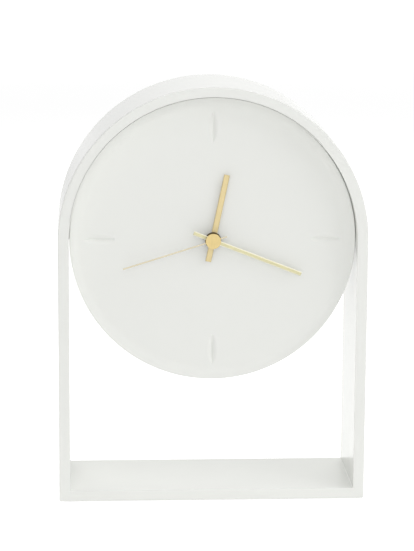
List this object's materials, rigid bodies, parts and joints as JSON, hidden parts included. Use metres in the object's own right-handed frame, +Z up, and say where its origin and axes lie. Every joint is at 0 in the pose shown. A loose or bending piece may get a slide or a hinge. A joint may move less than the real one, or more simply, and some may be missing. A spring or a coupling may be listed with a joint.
{
  "type": "table clock",
  "caption": "Free-standing table clock: a round dial hung in the arched head of a deep open frame, with slim hands and a battery movement.",
  "frame": {"origin": "middle of the footprint, on the surface that the feet stand on", "axes": "+Z up, -Y towards the front of the dial, +X to the viewer's right"},
  "size_m": [0.22, 0.08, 0.3],
  "materials": {
    "frame_white": "semi-gloss",
    "dial_white": "satin",
    "pad_rubber": "matt",
    "steel": "zinc plated",
    "hand_gold": "satin gold",
    "collar_black": "gloss black",
    "case_black": "matt black",
    "gasket_rubber": "matt black",
    "wheel_plastic": "natural",
    "wheel_brass": "turned",
    "magnet": "sintered",
    "stator_steel": "punched",
    "bobbin_plastic": "natural",
    "copper_wire": "enamelled wire",
    "board": "green lacquer",
    "cell_jacket": "gloss",
    "contact_metal": "nickel plated",
    "knob_plastic": "matt"
  },
  "bodies": {
    "frame": {"frame_shell": "frame_white", "rear_band": "frame_white", "foot_pads": "pad_rubber", "ledge_screws": "steel", "dial": "dial_white", "drum_cover": "frame_white", "cover_screws": "steel", "movement_front_case": "case_black", "movement_rear_case": "case_black", "stem_gasket": "gasket_rubber", "movement_screws": "steel", "stator": "stator_steel", "coil_bobbin": "bobbin_plastic", "coil_winding": "copper_wire", "circuit_board": "board", "quartz_crystal": "steel", "battery": "cell_jacket", "plus_contact": "contact_metal", "minus_contact": "contact_metal"},
    "door": {"battery_door": "frame_white"},
    "minute_group": {"minute_hand": "hand_gold", "hub_collar": "collar_black", "cannon_pinion": "wheel_brass"},
    "hour_group": {"hour_hand": "hand_gold", "hour_wheel": "wheel_plastic"},
    "second_group": {"second_hand": "hand_gold", "front_cap": "hand_gold", "second_wheel": "wheel_plastic"},
    "reverser": {"reverser_wheel": "wheel_plastic"},
    "knob": {"setting_knob": "knob_plastic"},
    "friction_wheel": {"minute_wheel": "wheel_plastic"},
    "third": {"third_wheel": "wheel_plastic"},
    "intermediate": {"intermediate_wheel": "wheel_plastic"},
    "rotor_body": {"rotor": "magnet"}
  },
  "joints": [
    {"name": "minute_turn", "type": "hinge", "parent": "frame", "child": "minute_group", "pos_m": [0, 0, 0.19], "axis": [0, 1, 0], "continuous": true},
    {"name": "hour_turn", "type": "hinge", "parent": "frame", "child": "hour_group", "pos_m": [0, 0, 0.19], "axis": [0, 1, 0], "continuous": true},
    {"name": "reverser_turn", "type": "hinge", "parent": "frame", "child": "reverser", "pos_m": [0, 0, 0.1972], "axis": [0, 1, 0], "continuous": true},
    {"name": "knob_turn", "type": "hinge", "parent": "frame", "child": "knob", "pos_m": [0, 0, 0.2062], "axis": [0, 1, 0], "continuous": true},
    {"name": "second_turn", "type": "hinge", "parent": "frame", "child": "second_group", "pos_m": [0, 0, 0.19], "axis": [0, 1, 0], "continuous": true},
    {"name": "friction_wheel_turn", "type": "hinge", "parent": "frame", "child": "friction_wheel", "pos_m": [0, 0, 0.19], "axis": [0, 1, 0], "continuous": true},
    {"name": "third_turn", "type": "hinge", "parent": "frame", "child": "third", "pos_m": [0.0102, 0, 0.19], "axis": [0, 1, 0], "continuous": true},
    {"name": "intermediate_turn", "type": "hinge", "parent": "frame", "child": "intermediate", "pos_m": [-0.009, 0, 0.19], "axis": [0, 1, 0], "continuous": true},
    {"name": "rotor_turn", "type": "hinge", "parent": "frame", "child": "rotor_body", "pos_m": [-0.009, 0, 0.1984], "axis": [0, 1, 0], "continuous": true},
    {"name": "door_slide", "type": "slide", "parent": "frame", "child": "door", "axis": [0, 0, -1], "range_m": [0, 0.021]}
  ],
  "couplings": [
    {"joint": "hour_turn", "follows": "minute_turn", "ratio": 0.083333},
    {"joint": "reverser_turn", "follows": "minute_turn", "ratio": -0.33333},
    {"joint": "knob_turn", "follows": "minute_turn", "ratio": 0.5},
    {"joint": "third_turn", "follows": "second_turn", "ratio": -0.13333},
    {"joint": "friction_wheel_turn", "follows": "second_turn", "ratio": 0.016667},
    {"joint": "intermediate_turn", "follows": "second_turn", "ratio": -5},
    {"joint": "rotor_turn", "follows": "second_turn", "ratio": 30}
  ]
}
